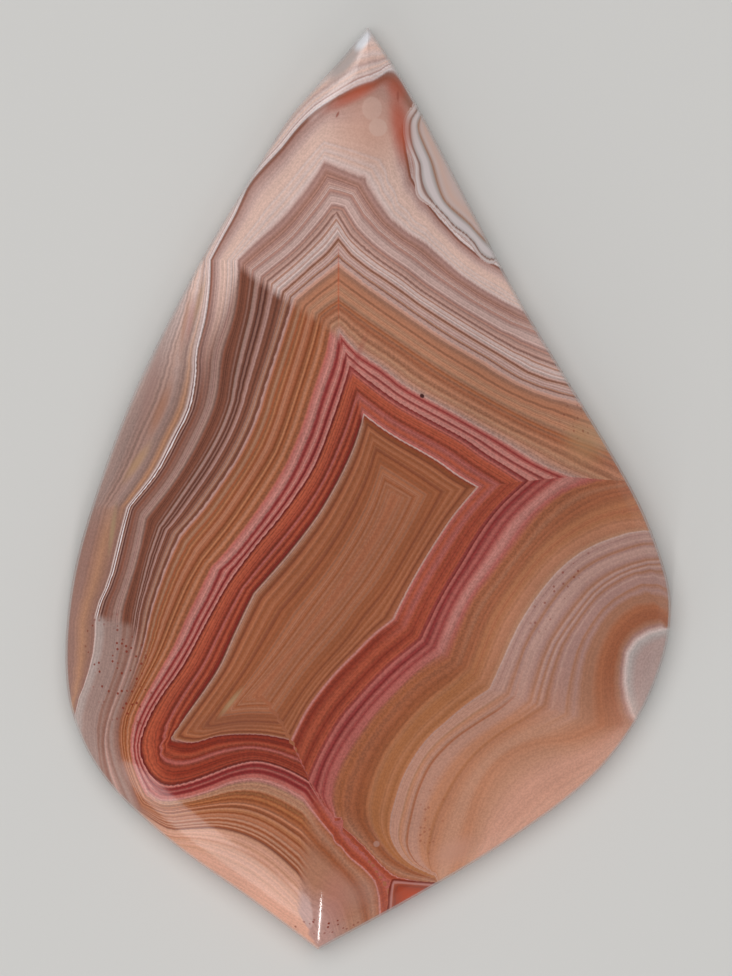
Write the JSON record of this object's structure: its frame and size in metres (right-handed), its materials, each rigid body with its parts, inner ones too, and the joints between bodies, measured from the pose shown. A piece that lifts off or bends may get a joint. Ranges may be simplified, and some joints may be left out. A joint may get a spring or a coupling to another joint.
{
  "type": "laguna agate cabochon",
  "caption": "Drop-shaped agate cabochon with a domed, polished face of mitred colour bands and a flat back, for setting as a pendant or brooch stone.",
  "frame": {"origin": "on the flat back, under the middle of the outline's bounding box", "axes": "+Z out of the flat back through the dome, +Y towards the long tip, +X to the right of the face as it is looked at"},
  "size_m": [0.0302, 0.046, 0.005],
  "materials": {
    "agate": "high polish on the dome and the wall, fine ground back; banded red, orange, pink, brown, black and white"
  },
  "bodies": {
    "root": {"agate_cabochon": "agate"}
  },
  "joints": []
}
